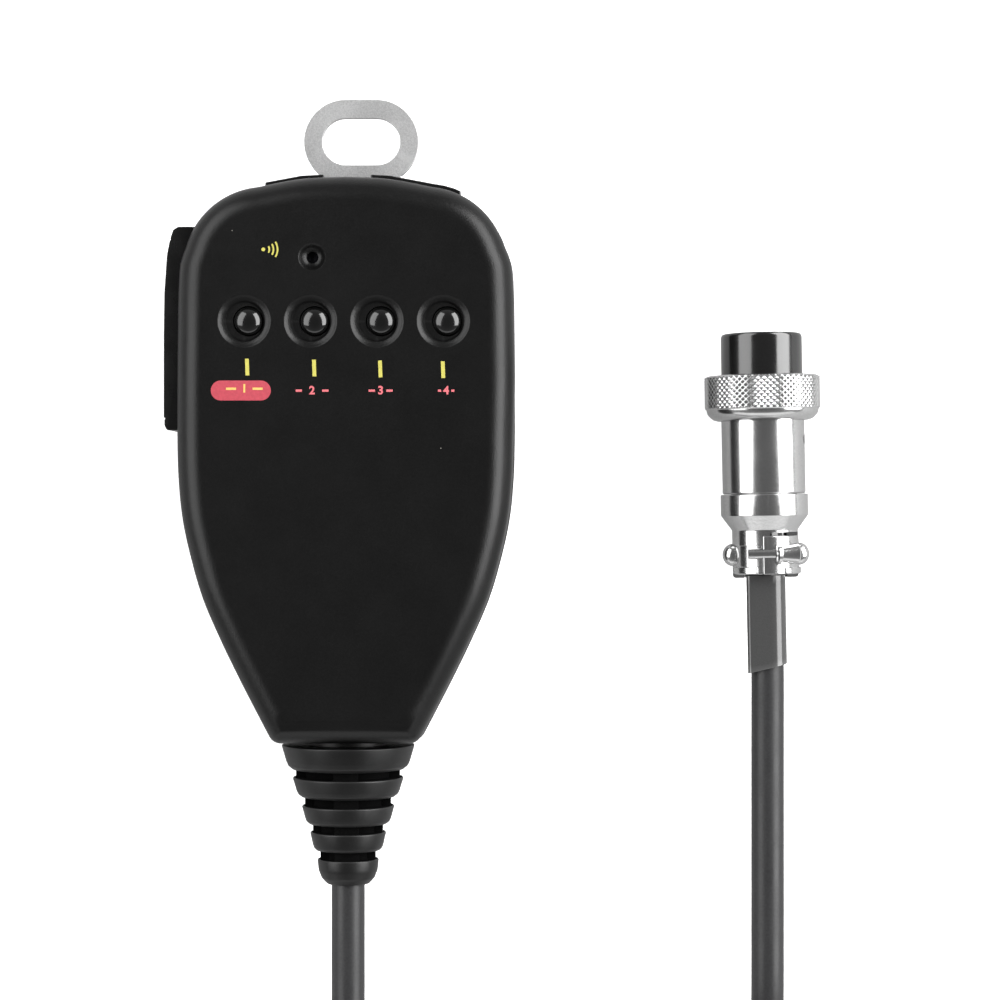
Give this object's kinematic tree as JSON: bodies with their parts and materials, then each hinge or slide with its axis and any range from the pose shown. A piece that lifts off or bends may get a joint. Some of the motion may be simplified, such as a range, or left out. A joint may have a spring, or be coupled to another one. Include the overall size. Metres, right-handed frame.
{
  "type": "hand microphone",
  "caption": "Mobile-radio hand microphone with front keys, push-to-talk lever, hanger plate, curly cord and screw-ring plug.",
  "frame": {"origin": "middle of the flat back face, under the body's centre line", "axes": "+X to the microphone's right seen from the front, +Y towards the hanger, +Z out of the front face; lying on its back"},
  "size_m": [0.1065, 0.2712, 0.0272],
  "materials": {
    "shell_black": "fine moulded grain",
    "key_black": "polished",
    "lever_black": "satin",
    "relief_rubber": "satin",
    "cord_jacket": "satin",
    "plate_zinc": "bead-blasted",
    "plug_chrome": "bright plated",
    "insert_black": "moulded",
    "sleeve_grey": "glossy heat-shrink",
    "contact_gold": "gold flash",
    "screw_steel": "zinc plated",
    "screw_dark": "black zinc",
    "board_green": "solder mask",
    "component_dark": "moulded",
    "component_light": "moulded",
    "capsule_metal": "drawn can",
    "boot_rubber": "soft",
    "dust_felt": "felt",
    "wire_red": "insulation",
    "plunger_white": "moulded"
  },
  "bodies": {
    "root": {"front_shell": "shell_black", "rear_shell": "shell_black", "hanger_plate": "plate_zinc", "case_screws": "screw_dark", "strain_relief": "relief_rubber", "main_board": "board_green", "board_screws": "screw_steel", "key_switches": "component_dark", "top_switches": "component_dark", "ptt_pin": "screw_steel", "ptt_spring": "screw_steel", "ptt_switch": "component_dark", "lock_switch": "component_light", "mic_capsule": "capsule_metal", "capsule_boot": "boot_rubber", "dust_screen": "dust_felt", "circuits": "component_dark", "capacitors": "component_dark", "cord_header": "component_light", "conductors": "wire_red", "cord_lead_in": "cord_jacket", "cord_clamp": "screw_steel", "clamp_screws": "screw_steel", "plug_insert": "insert_black", "plug_contacts": "contact_gold", "plug_barrel": "plug_chrome", "plug_tail_shell": "plug_chrome", "plug_saddle": "plug_chrome", "saddle_screws": "plug_chrome", "barrel_screw": "screw_dark", "plug_sleeve": "sleeve_grey", "cord_mic_tail": "cord_jacket", "cord_curl": "cord_jacket", "cord_plug_tail": "cord_jacket"},
    "key_1": {"key_1": "key_black", "key_plunger_1": "plunger_white"},
    "key_2": {"key_2": "key_black", "key_plunger_2": "plunger_white"},
    "key_3": {"key_3": "key_black", "key_plunger_3": "plunger_white"},
    "key_4": {"key_4": "key_black", "key_plunger_4": "plunger_white"},
    "up_key": {"up_key": "lever_black", "up_plunger": "plunger_white"},
    "down_key": {"down_key": "lever_black", "down_plunger": "plunger_white"},
    "ptt_lever": {"ptt_lever": "lever_black"},
    "ptt_plunger": {"ptt_plunger": "wire_red"},
    "lock_knob": {"lock_knob": "lever_black"},
    "coupling_ring": {"coupling_ring": "plug_chrome"}
  },
  "joints": [
    {"name": "key_1_press", "type": "slide", "parent": "root", "child": "key_1", "axis": [0, 0, -1], "range_m": [0, 0.0005], "stiffness_N_per_m": 4000},
    {"name": "key_2_press", "type": "slide", "parent": "root", "child": "key_2", "axis": [0, 0, -1], "range_m": [0, 0.0005], "stiffness_N_per_m": 4000},
    {"name": "key_3_press", "type": "slide", "parent": "root", "child": "key_3", "axis": [0, 0, -1], "range_m": [0, 0.0005], "stiffness_N_per_m": 4000},
    {"name": "key_4_press", "type": "slide", "parent": "root", "child": "key_4", "axis": [0, 0, -1], "range_m": [0, 0.0005], "stiffness_N_per_m": 4000},
    {"name": "up_key_press", "type": "slide", "parent": "root", "child": "up_key", "axis": [0, -1, 0], "range_m": [0, 0.0005], "stiffness_N_per_m": 4000},
    {"name": "down_key_press", "type": "slide", "parent": "root", "child": "down_key", "axis": [0, -1, 0], "range_m": [0, 0.0005], "stiffness_N_per_m": 4000},
    {"name": "ptt_press", "type": "hinge", "parent": "root", "child": "ptt_lever", "pos_m": [-0.0234, 0.0078, 0.0135], "axis": [0, 0, -1], "range_deg": [0, 3.5], "stiffness_Nm_per_rad": 1.5},
    {"name": "ptt_plunger_press", "type": "slide", "parent": "root", "child": "ptt_plunger", "axis": [1, 0, 0], "range_m": [0, 0.0008]},
    {"name": "lock_slide", "type": "slide", "parent": "root", "child": "lock_knob", "axis": [1, 0, 0], "range_m": [0, 0.0032]},
    {"name": "ring_turn", "type": "hinge", "parent": "root", "child": "coupling_ring", "pos_m": [0.06775, 0.01009, 0.0097], "axis": [-0.0192, 0.9998, 0], "continuous": true}
  ],
  "couplings": [
    {"joint": "ptt_plunger_press", "follows": "ptt_press", "m_per_rad": 0.0116}
  ]
}
